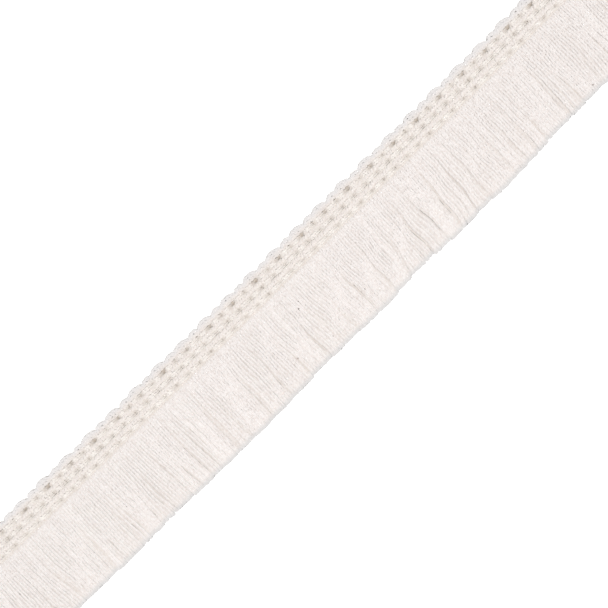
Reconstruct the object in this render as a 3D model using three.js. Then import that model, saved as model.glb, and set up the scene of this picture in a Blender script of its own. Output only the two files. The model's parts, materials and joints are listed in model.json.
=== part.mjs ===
// A cut length of cotton brush fringe, lying flat on its back with a slight bend.
// The trim is woven in one go: a narrow heading with a picot edge, and a brush skirt of cut threads.
// Millimetres. +X runs along the trim, +Y points at the picot edge, +Z is up, and it lies on z = 0.
// The origin is the middle of the underside of the whole trim.

import * as THREE from "three";
import { mergeVertices } from "three/addons/utils/BufferGeometryUtils.js";

// ---- driving dimensions -------------------------------------------------------------------------

const LENGTH = 260; // cut length
const RIBS = 60; // weft ribs across the heading in that length
const PITCH = LENGTH / RIBS; // from one rib to the next
const TRIM_WIDTH = 32; // crest of a large picot to the mean hem
const HEADING_WIDTH = 9.05; // crest of a large picot to the heading's lower edge
const PIECE_GAP = 0.3; // between the heading and the skirt
const HALF_LENGTH = LENGTH / 2;

const BEND_LEFT = 0.3; // how far the -X end swings towards the picot side
const BEND_RIGHT = 0.95; // how far the +X end does
const MID_Y = -0.25; // middle of the trim's width at x = 0, so that the bent trim is centred

const LOWER_EDGE_Y = MID_Y + TRIM_WIDTH / 2 - HEADING_WIDTH; // heading's lower edge at x = 0
const SKIRT_LENGTH = TRIM_WIDTH - HEADING_WIDTH; // lower edge to the mean hem

// ---- the heading --------------------------------------------------------------------------------

// Rows across the heading, from its lower edge. rib is the height on a weft rib, gap the height
// between two ribs, which dips at the gap rows and rises where a warp cord crosses.
const HEADING_ROWS = [
  { name: "lower edge", across: 0.0, rib: 1.7, gap: 1.5 },
  { name: "gap row 3", across: 0.95, rib: 2.2, gap: 1.0 },
  { name: "warp cord 2", across: 2.4, rib: 2.3, gap: 1.9 },
  { name: "gap row 2", across: 3.65, rib: 2.4, gap: 0.9 },
  { name: "warp cord 1", across: 5.05, rib: 2.3, gap: 1.9 },
  { name: "gap row 1", across: 6.2, rib: 2.3, gap: 0.8 },
  { name: "picot foot", across: 7.3, rib: 1.9, gap: 2.0 },
];

// Stations along one pitch, from the middle of a gap. rib says how much of a rib is there, and
// drop how far the picot edge lies inside its crest.
const RIB_STATIONS = [
  { name: "gap middle", at: 0.0, rib: 0.0, drop: 0.0 },
  { name: "rib side", at: 0.21, rib: 0.6, drop: 0.2 },
  { name: "rib middle", at: 0.5, rib: 1.0, drop: 1.05 },
  { name: "rib side", at: 0.79, rib: 0.6, drop: 0.2 },
];

const PICOT_EDGE_HEIGHT = 0.9; // height of the wall along the picot crests
const SMALL_PICOT_DROP = 0.35; // every second picot is this much shorter

// ---- the skirt ----------------------------------------------------------------------------------

// Rows across the skirt, from its hem up to its root. up is the share of the skirt's length above
// the hem, full the height on a lock and edge the height beside a parting.
const SKIRT_ROWS = [
  { name: "hem", up: 0.0, full: 2.6, edge: 1.5 },
  { name: "lower", up: 0.2, full: 3.0, edge: 1.9 },
  { name: "middle", up: 0.44, full: 3.2, edge: 2.3 },
  { name: "fullest", up: 0.69, full: 3.3, edge: 2.8 },
  { name: "shoulder", up: 0.89, full: 3.0, edge: 2.8 },
  { name: "root", up: 1.0, full: 2.0, edge: 2.0 },
];

const LOCK_COLUMNS = 3; // strips across one lock
const LOCK_CORNER = 0.25; // a lock's corners end this much above its hem

// Partings between the locks of the skirt. at is where one opens at the hem, lean how far its top
// lies along +X from there, rows how many rows up it is open, open its width at the hem, and hem
// how much longer the lock on its +X side is than the mean.
const PARTINGS = [
  { at: -124.0, lean: 1.0, rows: 2, open: 0.6, hem: 0.2 },
  { at: -117.5, lean: -0.6, rows: 1, open: 0.5, hem: -0.1 },
  { at: -110.5, lean: 0.8, rows: 3, open: 0.8, hem: 0.1 },
  { at: -103.0, lean: -0.5, rows: 2, open: 0.5, hem: -0.3 },
  { at: -96.0, lean: -1.2, rows: 2, open: 0.6, hem: -0.2 },
  { at: -84.8, lean: 1.8, rows: 3, open: 0.8, hem: 0.1 },
  { at: -80.6, lean: -0.3, rows: 2, open: 0.8, hem: 0.1 },
  { at: -74.8, lean: 0.0, rows: 1, open: 0.5, hem: 0.0 },
  { at: -71.0, lean: -1.2, rows: 2, open: 0.4, hem: 0.0 },
  { at: -67.3, lean: 1.0, rows: 2, open: 0.5, hem: -0.2 },
  { at: -61.8, lean: -0.8, rows: 3, open: 0.8, hem: -0.1 },
  { at: -56.0, lean: -1.2, rows: 4, open: 0.8, hem: 0.2 },
  { at: -52.3, lean: -1.2, rows: 2, open: 0.8, hem: 0.3 },
  { at: -49.0, lean: 0.0, rows: 3, open: 0.5, hem: 0.2 },
  { at: -45.6, lean: -0.9, rows: 3, open: 0.5, hem: 0.3 },
  { at: -38.6, lean: 0.2, rows: 3, open: 0.8, hem: 0.4 },
  { at: -34.0, lean: -0.5, rows: 1, open: 0.5, hem: 0.4 },
  { at: -26.6, lean: 1.0, rows: 2, open: 0.5, hem: 0.3 },
  { at: -18.4, lean: 0.0, rows: 2, open: 0.4, hem: 0.1 },
  { at: -11.2, lean: -0.5, rows: 2, open: 0.5, hem: -0.4 },
  { at: -4.0, lean: 0.1, rows: 2, open: 0.9, hem: -0.2 },
  { at: 1.0, lean: -0.4, rows: 1, open: 0.5, hem: -0.2 },
  { at: 6.1, lean: -0.6, rows: 1, open: 0.8, hem: 0.1 },
  { at: 13.4, lean: 0.0, rows: 3, open: 0.7, hem: 0.2 },
  { at: 20.4, lean: 1.0, rows: 2, open: 0.4, hem: -0.4 },
  { at: 26.0, lean: 3.0, rows: 3, open: 0.6, hem: -0.6 },
  { at: 34.4, lean: 1.0, rows: 4, open: 0.9, hem: -0.1 },
  { at: 40.8, lean: -0.9, rows: 4, open: 0.5, hem: 0.3 },
  { at: 44.5, lean: 3.0, rows: 4, open: 1.0, hem: 0.2 },
  { at: 50.9, lean: 2.6, rows: 3, open: 0.6, hem: 0.0 },
  { at: 55.8, lean: -0.2, rows: 3, open: 0.4, hem: 0.4 },
  { at: 65.4, lean: 0.0, rows: 2, open: 0.4, hem: 0.3 },
  { at: 70.0, lean: 0.3, rows: 3, open: 0.5, hem: 0.1 },
  { at: 73.6, lean: 0.3, rows: 1, open: 0.5, hem: 0.0 },
  { at: 77.5, lean: 0.0, rows: 2, open: 0.8, hem: -0.4 },
  { at: 86.0, lean: 1.0, rows: 4, open: 0.5, hem: -0.2 },
  { at: 91.8, lean: -0.6, rows: 2, open: 0.7, hem: -0.4 },
  { at: 98.5, lean: 0.8, rows: 2, open: 0.6, hem: -0.1 },
  { at: 105.5, lean: -0.9, rows: 3, open: 0.7, hem: 0.2 },
  { at: 112.0, lean: 0.4, rows: 1, open: 0.4, hem: 0.1 },
  { at: 118.5, lean: 1.1, rows: 3, open: 0.7, hem: -0.2 },
  { at: 124.5, lean: -0.5, rows: 2, open: 0.5, hem: 0.0 },
];

// ---- shared helpers -----------------------------------------------------------------------------

// How far the bent trim swings towards the picot side at a distance x from its middle.
function bend(x) {
  const share = x / HALF_LENGTH;
  return (x < 0 ? BEND_LEFT : BEND_RIGHT) * share * share;
}

function addQuad(faces, a, b, c, d) {
  faces.push([a, b, c], [a, c, d]);
}

// The point on the ground straight under another.
function under(point) {
  return new THREE.Vector3(point.x, point.y, 0);
}

// A wall from the ground up to a line of points, facing the right-hand side of that line.
function addWall(faces, line) {
  for (let i = 0; i + 1 < line.length; i += 1) {
    addQuad(faces, under(line[i]), under(line[i + 1]), line[i + 1], line[i]);
  }
}

// A closed, faceted mesh from triangles that face outwards.
function solidMesh(name, faces, material) {
  const positions = faces.flat().flatMap((point) => point.toArray());
  const geometry = new THREE.BufferGeometry();
  geometry.setAttribute("position", new THREE.Float32BufferAttribute(positions, 3));
  const welded = mergeVertices(geometry, 1e-4);
  welded.computeVertexNormals();
  const mesh = new THREE.Mesh(welded, material);
  mesh.name = name;
  return mesh;
}

function cottonMaterial(colour) {
  return new THREE.MeshStandardMaterial({ color: colour, roughness: 0.95, metalness: 0 });
}

// ---- heading ------------------------------------------------------------------------------------

// One line of points across the heading's upper side, from its lower edge to its picot edge.
function headingLine(index) {
  const gap = Math.floor(index / RIB_STATIONS.length);
  const station = RIB_STATIONS[index % RIB_STATIONS.length];
  const x = (gap + station.at) * PITCH - HALF_LENGTH;
  const lowerEdge = LOWER_EDGE_Y + bend(x);
  const line = HEADING_ROWS.map((row) => {
    const height = row.gap + (row.rib - row.gap) * station.rib;
    return new THREE.Vector3(x, lowerEdge + row.across, height);
  });
  const nearestGap = Math.round(gap + station.at) - RIBS / 2;
  const shorter = nearestGap % 2 === 0 ? SMALL_PICOT_DROP : 0;
  const rimDrop = station.rib === 1 ? station.drop : station.drop + shorter;
  line.push(new THREE.Vector3(x, lowerEdge + HEADING_WIDTH - rimDrop, PICOT_EDGE_HEIGHT));
  return line;
}

// The wall that closes a cut end of the heading: its line of points down to the ground.
function addEndWall(faces, line, facesPlusX) {
  const outline = [under(line[0]), ...line, under(line[line.length - 1])];
  const flat = outline.map((point) => new THREE.Vector2(point.y, point.z));
  for (const [a, b, c] of THREE.ShapeUtils.triangulateShape(flat, [])) {
    const corners = [outline[a], outline[b], outline[c]];
    const normal = new THREE.Triangle(...corners).getNormal(new THREE.Vector3());
    faces.push(normal.x > 0 === facesPlusX ? corners : corners.reverse());
  }
}

function makeHeading() {
  const faces = [];
  const last = RIBS * RIB_STATIONS.length;
  const lines = Array.from({ length: last + 1 }, (_, index) => headingLine(index));
  const rim = HEADING_ROWS.length;
  for (let i = 0; i < last; i += 1) {
    const here = lines[i];
    const next = lines[i + 1];
    for (let row = 0; row < rim; row += 1) {
      addQuad(faces, here[row], next[row], next[row + 1], here[row + 1]);
    }
    addQuad(faces, under(here[rim]), under(next[rim]), under(next[0]), under(here[0]));
  }
  addWall(faces, lines.map((line) => line[0]));
  addWall(faces, lines.map((line) => line[rim]).reverse());
  addEndWall(faces, lines[0], false);
  addEndWall(faces, lines[last], true);
  return solidMesh("heading", faces, cottonMaterial(0xf0e9e1));
}

// ---- skirt --------------------------------------------------------------------------------------

// The x of one side of a parting at a row: side is -1 for the lock before it, +1 for the one after.
function partingX(parting, row, side) {
  const closing = Math.max(0, 1 - row / parting.rows);
  return parting.at + parting.lean * SKIRT_ROWS[row].up + (side * parting.open * closing) / 2;
}

// A point on a lock's upper side. column runs from the parting before the lock to the one after.
function lockPoint(before, after, column, row) {
  const share = column / LOCK_COLUMNS;
  const left = before.at === -HALF_LENGTH ? before.at : partingX(before, row, 1);
  const right = after.at === HALF_LENGTH ? after.at : partingX(after, row, -1);
  const x = left + (right - left) * share;
  const atCorner = column === 0 || column === LOCK_COLUMNS;
  const parting = column === 0 ? before : after;
  const parted = atCorner && row < parting.rows;
  const section = SKIRT_ROWS[row];
  const reach = row === 0 ? before.hem - (atCorner ? LOCK_CORNER : 0) : 0;
  const down = PIECE_GAP + (SKIRT_LENGTH - PIECE_GAP) * (1 - section.up) + reach;
  const y = LOWER_EDGE_Y + bend(x) - down;
  return new THREE.Vector3(x, y, parted ? section.edge : section.full);
}

function addLock(faces, before, after) {
  const root = SKIRT_ROWS.length - 1;
  const point = (column, row) => lockPoint(before, after, column, row);
  for (let column = 0; column < LOCK_COLUMNS; column += 1) {
    for (let row = 0; row < root; row += 1) {
      const corners = [
        point(column, row),
        point(column + 1, row),
        point(column + 1, row + 1),
        point(column, row + 1),
      ];
      addQuad(faces, ...corners);
      addQuad(faces, ...corners.map(under).reverse());
    }
    addWall(faces, [point(column, 0), point(column + 1, 0)]);
    addWall(faces, [point(column + 1, root), point(column, root)]);
  }
  for (let row = 0; row < after.rows; row += 1) {
    addWall(faces, [point(LOCK_COLUMNS, row), point(LOCK_COLUMNS, row + 1)]);
  }
  for (let row = 0; row < before.rows; row += 1) {
    addWall(faces, [point(0, row + 1), point(0, row)]);
  }
}

function makeSkirt() {
  const faces = [];
  const rows = SKIRT_ROWS.length - 1;
  const cutEnd = (at) => ({ at, lean: 0, rows, open: 0, hem: 0 });
  const edges = [cutEnd(-HALF_LENGTH), ...PARTINGS, cutEnd(HALF_LENGTH)];
  for (let i = 0; i + 1 < edges.length; i += 1) {
    addLock(faces, edges[i], edges[i + 1]);
  }
  return solidMesh("fringe_skirt", faces, cottonMaterial(0xf6f0ea));
}

// ---- the trim -----------------------------------------------------------------------------------

const trim = new THREE.Group();
trim.add(makeHeading(), makeSkirt());

export default trim;
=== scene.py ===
"""Looks of a cut length of cotton brush fringe: every yarn of its picot heading and of its brush skirt.

The trim lies flat. +X runs along it, +Y points at the picots and +Z is up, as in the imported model.
Tables and the paths of yarns are in millimetres, and properties and meshes are in metres.
"""

import json
import math
from collections import namedtuple

import bmesh
import bpy
import numpy as np
from bpy.props import FloatProperty, FloatVectorProperty, IntProperty, PointerProperty
from mathutils import Matrix, Vector

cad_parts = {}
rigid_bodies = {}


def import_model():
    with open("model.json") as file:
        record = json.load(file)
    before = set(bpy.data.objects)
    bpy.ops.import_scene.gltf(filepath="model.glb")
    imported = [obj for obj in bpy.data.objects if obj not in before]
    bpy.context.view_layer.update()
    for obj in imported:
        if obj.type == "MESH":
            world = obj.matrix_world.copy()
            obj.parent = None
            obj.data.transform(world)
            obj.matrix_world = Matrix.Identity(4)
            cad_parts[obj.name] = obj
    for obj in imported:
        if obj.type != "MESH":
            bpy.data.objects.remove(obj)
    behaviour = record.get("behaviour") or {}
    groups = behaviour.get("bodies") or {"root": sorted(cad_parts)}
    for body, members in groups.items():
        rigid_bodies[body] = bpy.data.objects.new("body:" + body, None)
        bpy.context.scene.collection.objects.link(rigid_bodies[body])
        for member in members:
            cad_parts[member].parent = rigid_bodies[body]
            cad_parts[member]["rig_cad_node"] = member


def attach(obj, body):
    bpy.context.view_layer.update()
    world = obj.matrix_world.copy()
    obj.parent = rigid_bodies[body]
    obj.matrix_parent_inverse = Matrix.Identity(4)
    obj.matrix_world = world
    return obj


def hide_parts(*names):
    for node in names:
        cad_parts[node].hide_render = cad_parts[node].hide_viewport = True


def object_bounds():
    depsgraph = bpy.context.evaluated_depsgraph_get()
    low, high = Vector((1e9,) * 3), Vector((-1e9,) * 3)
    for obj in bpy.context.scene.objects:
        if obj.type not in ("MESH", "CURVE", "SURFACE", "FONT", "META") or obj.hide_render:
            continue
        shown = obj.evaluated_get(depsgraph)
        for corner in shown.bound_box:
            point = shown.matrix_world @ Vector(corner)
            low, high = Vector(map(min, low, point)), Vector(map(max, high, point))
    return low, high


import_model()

bl_info = {
    "name": "Cotton Brush Fringe",
    "version": (1, 0, 0),
    "blender": (4, 5, 0),
    "location": "3D View > Sidebar > Fringe",
    "description": "Weaves a picot heading and lays the cut threads of a brush fringe",
    "category": "Add Mesh",
}

MM = 0.001

# A random start lies anywhere in this turn, in radians.
TURN = 6.28

# The length of one full turn of a yarn whose twist doesn't show, in metres.
UNTWISTED = 1000.0

# The section of a yarn: its sides, and how far in its plies meet, as a share of its thickness.
Section = namedtuple("Section", "sides groove")
FRONT_YARN = Section(8, 0.3)
BACK_YARN = Section(5, 0.0)
FIBRE = Section(3, 0.0)
BRUSH_GROOVE = 0.12

# How many points each stretch of a smooth line has before they are spaced evenly, and how near, in
# metres, the points of a yarn's end and of its cap lie, which become one.
STRETCH_POINTS = 8
SAME_PLACE = 1e-8

# A yarn's look: the size of its streaks of tone along X and along Y, in millimetres, and how often
# its fibres wrap round it from end to end, which puts the wraps 0.7 to 1 mm apart.
Spin = namedtuple("Spin", "streak_x streak_y wraps")
WEFT_SPIN = Spin(4.0, 2.0, 20)
WARP_SPIN = Spin(6.0, 2.0, 280)
BRUSH_SPIN = Spin(1.0, 4.0, 26)
FINE_SPIN = Spin(3.0, 3.0, 1)

# How many bands of fibre lie side by side round a yarn, and how high its two plies, the fibres that
# wrap them and the fuzz stand, in millimetres.
FIBRE_BANDS = 9.0
PLY_RELIEF, WRAP_RELIEF, FUZZ_RELIEF = 0.02, 0.008, 0.05

# Sizes of a tuft of another tone, of fuzz and of the mottling of a husk, in millimetres, how much
# of its tone a dark spot of husk keeps, how much the streaks count beside the tufts, and from where
# to where their sum turns tone into shade.
TUFT, FUZZ, HUSK_MOTTLE = 0.5, 0.3, 1 / 9
HUSK_SPOT = 0.4
STREAK_WEIGHT = 0.25
SHADE_START, SHADE_FULL = 0.52, 0.85

# Distance between the threads of the heading's inner weave, in millimetres, and the length of one
# wave of a wave texture at scale 1.
WEAVE_SPACING = 0.4
TEXTURE_WAVE = math.pi / 10

# A smooth random wave along a yarn: its size, and its shortest and longest wave, in millimetres. A
# girth ripples by a share.
Ripple = namedtuple("Ripple", "size shortest longest")
WEFT_GIRTH = Ripple(0.03, 1.0, 3.0)
WARP_ASIDE = Ripple(0.03, 5.0, 20.0)
WARP_RISE = Ripple(0.02, 2.0, 9.0)
THREAD_SWAY = Ripple(0.045, 8.0, 30.0)
THREAD_KINK = Ripple(0.026, 2.0, 5.0)
THREAD_RISE = Ripple(0.034, 2.0, 6.0)
THREAD_GIRTH = Ripple(0.05, 1.8, 6.0)

# Painted shade: the darker, warmer colour that yarn takes deep in the cloth, where shade falls
# between its neighbours, and how many millimetres below the cloth's upper side it starts and is full.
Deep = namedtuple("Deep", "colour start full")

# The painted light and shade of thin edges, a cooler, darker grey, and the axis, start and end of
# the ramp that leads to it: along is the share of the yarn's length, and y is the place across the
# trim in metres.
Rim = namedtuple("Rim", "colour axis start end")

# Where the painted shade of the heading's hollows starts and is full, and where the painted shade
# low between the skirt's threads does.
HOLLOW_START, HOLLOW_FULL = 0.24, 2.35
DEEP_START, DEEP_FULL = 0.12, 1.7

# Yarn that faces down by the first of these, as the Z of its normal, has no depth marked on it and
# so no painted shade, and yarn past the second has all of it.
FACING_DOWN, FACING_UP = -0.3, 0.2

# Where a picot's inner strands and its outermost one start and end to take the painted grey of their
# edges, and where the threads of the skirt take their painted shade at the hem, as a share of their
# length.
CROWN_START, CROWN_END = 6.4, 8.4
RIM_START, RIM_END = 6.2, 7.8
HEM_START, HEM_END = 0.93, 1.0

CAD_LOW, CAD_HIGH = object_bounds()

# Rows of warp across the heading, from its lower edge towards the picots, and how much deeper than
# the others a row dips under a large picot.
WarpRow = namedtuple("WarpRow", "across sink")
WARP_ROWS = (WarpRow(1.02, 0.0), WarpRow(3.68, 0.0), WarpRow(5.96, 0.65))

# The three yarns of a row, as shares of their spread to either side. The middle one is sunk by the
# first of the next two and lifted by the second over a rib.
WARP_SIDES = (-0.5, 0.0, 0.5)
MIDDLE_SINK, MIDDLE_LIFT = 0.25, 0.13

# How unevenly the warp is drawn down from gap to gap: the spread, the least and the most. No warp
# yarn lies lower than the last.
TIGHT_SPREAD, TIGHT_LEAST, TIGHT_MOST = 0.16, 0.65, 1.3
WARP_LOWEST = 0.40

# The girth of a warp yarn in a gap, what it gains over a rib, and its twist as a share of the weft's.
WARP_GIRTH, WARP_SWELL = 0.68, 0.34
WARP_TWIST = 0.8
WARP_PAST_END = 0.2  # how far past the cut end its last point may lie

# Height of a warp yarn around the gap of a large and of a small picot, by the distance from the
# middle of the gap.
DipRow = namedtuple("DipRow", "off large small")
DIP_ROWS = [DipRow(*row) for row in (
    (-2.17, 1.95, 1.95), (-1.98, 1.92, 1.92), (-1.70, 1.64, 1.67), (-0.95, 1.51, 1.55),
    (-0.36, 1.42, 1.46), (-0.06, 1.03, 1.07), (0.06, 1.03, 1.07), (0.30, 1.20, 1.24),
    (0.75, 1.37, 1.40), (1.20, 1.58, 1.60), (1.50, 1.84, 1.85), (1.75, 1.95, 1.95),
    (2.17, 1.97, 1.97),
)]

# Filling cords under the weft: how far across and how high each lies, and its girth.
Filling = namedtuple("Filling", "across z girth")
FILLING_CORDS = [Filling(*row) for row in (
    (0.28, 1.30, 1.0), (1.84, 1.46, 1.0), (2.28, 1.15, 1.8), (2.72, 1.52, 1.0),
    (4.50, 1.46, 1.0), (4.86, 1.15, 1.6), (5.18, 1.42, 1.0), (6.52, 0.66, 0.9),
)]
FILLING_POINTS = 60  # along each
FILLING_SHORTER = 0.3  # from a cut end of the trim to theirs

# A weft yarn on its way up the heading: how far across it is, what share of the way the warp draws
# it to the middle of its rib, how high it lies there, how much lower it lies beside a gap, how much
# lower again under the warp on the -X side of a gap, and its girth.
LegRow = namedtuple("LegRow", "across squeeze z drop sag girth")
LEG_ROWS = [LegRow(*row) for row in (
    (0.08, 0.05, 1.18, 0.20, 0.10, 0.95), (0.40, 0.11, 1.40, 0.52, 0.10, 0.97),
    (1.74, 0.11, 1.40, 0.52, 0.10, 0.97), (2.04, 0.03, 1.76, 0.12, 0.08, 1.10),
    (2.46, 0.03, 1.76, 0.12, 0.08, 1.10), (2.80, 0.11, 1.40, 0.52, 0.10, 0.97),
    (4.40, 0.11, 1.40, 0.52, 0.10, 0.97), (4.68, 0.04, 1.76, 0.12, 0.08, 1.10),
    (4.96, 0.05, 1.74, 0.16, 0.10, 1.08), (5.24, 0.13, 1.42, 0.50, 0.15, 0.97),
)]

# Above those rows it spreads to its picot: how far across, and the share of the way to its foot.
FootRow = namedtuple("FootRow", "across spread")
FOOT_ROWS = (FootRow(5.90, 0.7), FootRow(6.35, 1.0))
FOOT_HEIGHT, FOOT_GIRTH, FOOT_SAG = 1.25, 0.9, 0.25

# The places beside a gap's middle where a strand starts to sag under the warp, and where it is down.
NO_SAG, FULL_SAG = -1.9, -1.5

# Strands of one picot from the inside out, in millimetres: half their distance apart in the
# heading, beside the hole and at the picot's widest, how far across its side and its crest lie,
# how high the strand lies at the sides and at the crest, and its girth there.
Strand = namedtuple("Strand", "half foot bulge side crest side_z crest_z girth")
LARGE_PICOT = (
    Strand(0.43, 1.30, 1.50, 6.90, 6.96, 1.46, 1.46, 1.00),
    Strand(1.30, 1.80, 2.05, 7.00, 7.66, 1.54, 1.56, 0.97),
    Strand(2.17, 2.25, 2.50, 7.00, 8.36, 1.50, 1.42, 0.97),
)
SMALL_PICOT = (
    Strand(0.43, 0.75, 0.90, 6.82, 7.06, 1.46, 1.46, 1.25),
    Strand(1.30, 1.45, 1.60, 7.00, 8.02, 1.52, 1.42, 1.10),
)

# How a picot leans to -X, in millimetres at its foot and for each millimetre further across. The
# lean at its foot grows from the first place across to the second, and the slant starts at the third.
Lean = namedtuple("Lean", "foot slant")
LEAN_START, LEAN_FULL = 6.2, 7.2
SLANT_START = 7.0

# The picots over every second gap: the name of their piece, the first gap that has one, their
# strands and their lean.
Picots = namedtuple("Picots", "name first strands lean")
PICOTS = (
    Picots("picots_large", 1, LARGE_PICOT, Lean(0.15, 0.35)),
    Picots("picots_small", 0, SMALL_PICOT, Lean(0.15, 0.0)),
)

# How uneven they are, as spreads in millimetres: a whole picot's crest and foot, and in each strand
# the bulge, as a share, the crest, its height, and every corner of its path.
Uneven = namedtuple("Uneven", "swell foot bulge crest crest_z corner")
PICOTS_UNEVEN = Uneven(0.09, 0.1, 0.03, 0.03, 0.05, 0.03)

# A twist differs by up to this share from yarn to yarn, in the heading and in the skirt.
TWIST_UNEVEN = 0.1
BRUSH_TWIST_UNEVEN = 0.12

# The back of the heading is its front turned over at this height, in millimetres. The next three are
# how low and how high a yarn of it may lie, and how far below the front's warp its warp stays. Its
# points are so many times further apart than the front's.
FOLD_HEIGHT = 2.36
BACK_LOWEST = 0.32
BACK_HIGHEST = 0.50
BACK_CLEAR = 0.6
BACK_COARSER = 3

# The heading's inner weave, in millimetres: its two edges, how high its middle lies and how much it
# follows the ribs, and its thickness. Then how many faces it has along a rib and across.
GROUND_LOW, GROUND_HIGH = 0.1, 6.9
GROUND_HEIGHT = 0.30
GROUND_RIB = 0.05
GROUND_THICK = 0.3
GROUND_ALONG, GROUND_ACROSS = 4, 8

# Height of the heading's upper side.
HEADING_TOP = 2.25

# Height of the skirt's upper side, by the share of its length above the hem.
SkirtRow = namedtuple("SkirtRow", "up height")
SKIRT_ROWS = [SkirtRow(*row) for row in (
    (0.0, 2.5), (0.2, 2.95), (0.44, 3.15), (0.69, 3.2), (0.89, 2.85), (0.97, 2.36), (1.0, 1.82),
)]

# Depth is measured from this much above the skirt's root, and from the heading's top past this share.
ROOT_RISE = 0.25
HEADING_START = 1.05

# How the threads of the skirt lie. Spreads are standard deviations.
PLACE_SPREAD = 0.04  # a thread's place along the root
END_CLEAR = 0.4  # from a cut end of the trim to the nearest thread
LOCK_CROWN = 0.2  # how much further a lock reaches in its middle than at its sides
LENGTH_SPREAD = 0.07
SHORTER_BELOW = 0.25  # how much shorter the threads under the top layer are
PARTING_SIDE = 0.25  # how far a parting moves the lock on each side, as a share of its width
STILL_END = 6.0  # how far from a cut end the waves of whole groups die out
WANDER_SPREAD = 0.05  # how far a thread's end lies sideways
STRAY_SHARE = 0.04  # how many threads of the top layer stray
STRAY = 2  # how much more a stray thread wanders
STRAY_LIFT = 0.02  # how much higher it lies, for each of those
ROW_DOWN = -1.1  # where the lowest warp row lies below the root
ROW_DRAW = 1.6  # how far from that row it draws threads to the middle of their rib
LOCK_ROUND = 0.12  # how much lower a lock's sides are at the hem, as a share of its height
TIP, TIP_DROP = 1.0, 0.2  # the last of a thread, which bends down, and how far
SPLAY, SPLAY_GIRTH = 1.2, 0.35  # the last of a thread, which splays, and by what share
BED = 0.2  # how far above the ground the lowest layer lies
TUCK_START, TUCK_DROP = 0.6, 0.45  # where threads start to dip under the heading, and how steeply
GROUND_CLEAR = 0.02  # how far above the ground every thread stays

# Waves of whole groups of threads: how many, and the ranges of their size in millimetres and of
# their turn for each millimetre along the trim and down the skirt, in radians.
WAVES = 7
WAVE_SIZE = (0.08, 0.18)
WAVE_ALONG = (0.15, 0.55)
WAVE_DOWN = (-0.55, 0.55)

# Layers of skirt threads from the bottom up: where in the thickness a layer lies, the spacing of
# the points along its threads in millimetres, the sides of a thread, how much of a parting opens in
# it, the length of one full turn of its plies in metres, and whether it is made in two halves.
Layer = namedtuple("Layer", "level step sides opening twist halved", defaults=(0.0, UNTWISTED, False))
LAYERS = (
    Layer(0.0, 2.2, 5),
    Layer(0.3, 2.2, 5),
    Layer(0.56, 2.0, 5),
    Layer(0.82, 0.9, 6, opening=0.3, halved=True),
    Layer(1.0, 0.4, 8, opening=1.0, twist=0.0026, halved=True),
)

# Partings between the locks of the skirt, in millimetres. at is where one opens at the hem, lean
# how far its top lies along +X from there, rows how many skirt rows up it is open, open its width
# at the hem, and hem how much longer the lock on its +X side is than the mean.
Parting = namedtuple("Parting", "at lean rows open hem")
PARTINGS = [Parting(*row) for row in (
    (-124.0, 1.0, 2, 0.6, 0.2), (-117.5, -0.6, 1, 0.5, -0.1), (-110.5, 0.8, 3, 0.8, 0.1),
    (-103.0, -0.5, 2, 0.5, -0.3), (-96.0, -1.2, 2, 0.6, -0.2), (-84.8, 0.9, 3, 0.8, 0.1),
    (-80.6, 0.0, 2, 0.5, 0.1), (-74.8, 0.0, 1, 0.5, 0.0), (-71.0, -1.2, 2, 0.4, 0.0),
    (-67.3, 1.0, 2, 0.5, -0.2), (-61.8, -0.8, 3, 0.8, -0.1), (-56.0, -1.2, 4, 0.8, 0.2),
    (-52.3, -1.2, 2, 0.8, 0.3), (-49.0, 0.0, 3, 0.5, 0.2), (-45.6, -0.9, 3, 0.5, 0.3),
    (-38.6, 0.2, 3, 0.8, 0.4), (-34.0, -0.5, 1, 0.5, 0.4), (-26.6, 1.0, 2, 0.5, 0.3),
    (-18.4, 0.0, 2, 0.4, 0.1), (-11.2, -0.5, 2, 0.5, -0.4), (-4.0, 0.1, 2, 0.9, -0.2),
    (1.0, -0.4, 1, 0.5, -0.2), (6.3, -0.6, 2, 0.8, 0.1), (13.4, 0.0, 3, 0.7, 0.2),
    (20.4, 1.0, 2, 0.4, -0.4), (26.0, 3.0, 3, 0.6, -0.6), (34.4, 1.0, 4, 0.9, -0.1),
    (40.8, -0.9, 4, 0.5, 0.3), (44.5, 2.3, 4, 1.0, 0.2), (50.9, 1.7, 3, 0.6, 0.0),
    (55.8, 0.3, 3, 0.4, 0.4), (65.4, 0.0, 2, 0.4, 0.3), (70.0, 0.3, 3, 0.5, 0.1),
    (73.6, 0.3, 1, 0.5, 0.0), (77.5, 0.0, 2, 0.8, -0.4), (86.0, 1.0, 4, 0.5, -0.2),
    (91.8, -0.6, 2, 0.7, -0.4), (98.5, 0.8, 2, 0.6, -0.1), (105.5, -0.9, 3, 0.7, 0.2),
    (112.0, 0.4, 1, 0.4, 0.1), (118.5, 1.1, 3, 0.7, -0.2), (124.5, -0.5, 2, 0.5, 0.0),
)]

# Specks of seed husk left in the cotton: along the trim, below the heading's lower edge, and size.
Fleck = namedtuple("Fleck", "along down size")
FLECKS = [Fleck(*row) for row in (
    (-1.4, 7.4, 0.42), (-0.1, 5.9, 0.30), (0.0, 19.0, 0.34), (-10.8, 16.6, 0.34),
    (14.8, 16.1, 0.32), (96.2, 20.9, 0.42), (-71.0, 12.5, 0.26), (62.5, 11.1, 0.22),
    (-107.5, 9.1, 0.34), (114.5, 14.1, 0.30), (95.9, -3.4, 0.30),
)]
FLECK_ON_HEADING = 2.1  # how high they lie on the heading
FLECK_LIFT = 0.03  # how far above the cotton their middle is
FLECK_SHAPE = 0.7  # their width as a share of their length
FLECK_THICK = 0.24

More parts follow.
